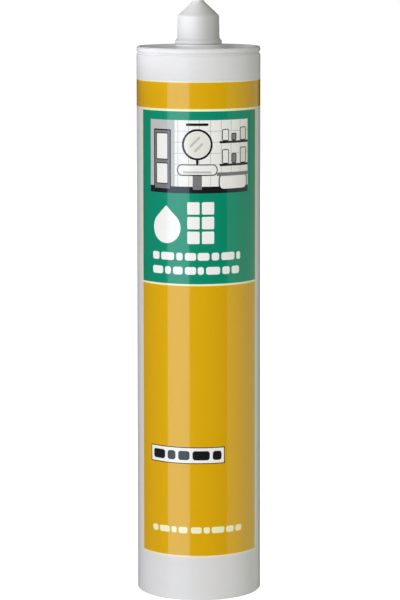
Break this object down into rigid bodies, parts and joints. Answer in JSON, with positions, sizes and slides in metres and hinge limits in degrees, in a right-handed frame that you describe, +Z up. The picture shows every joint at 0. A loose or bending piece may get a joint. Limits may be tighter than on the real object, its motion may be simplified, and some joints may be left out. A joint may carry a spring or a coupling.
{
  "type": "caulk tube",
  "caption": "Round plastic gun cartridge for sealant, with a threaded nipple under a push-on cap and a ribbed piston that slides up its open bore.",
  "frame": {"origin": "centre of the base rim, on the surface that the cartridge stands on", "axes": "+Z up the tube's axis, from the open rear end to the nipple; -Y towards the middle of the print"},
  "size_m": [0.0492, 0.0492, 0.2343],
  "materials": {
    "barrel_plastic": "printed white polyethylene, soft gloss",
    "cap_plastic": "plain white polyethylene, soft gloss",
    "piston_plastic": "plain natural polyethylene, satin",
    "sealant_paste": "smooth white paste"
  },
  "bodies": {
    "barrel": {"barrel": "barrel_plastic", "sealant": "sealant_paste"},
    "piston": {"piston": "piston_plastic"},
    "cap": {"cap": "cap_plastic"}
  },
  "joints": [
    {"name": "piston_slide", "type": "slide", "parent": "barrel", "child": "piston", "axis": [0, 0, 1], "range_m": [0, 0.1831], "deforming": ["sealant"]},
    {"name": "cap_lift", "type": "slide", "parent": "barrel", "child": "cap", "axis": [0, 0, 1], "range_m": [0, 0.03]}
  ]
}
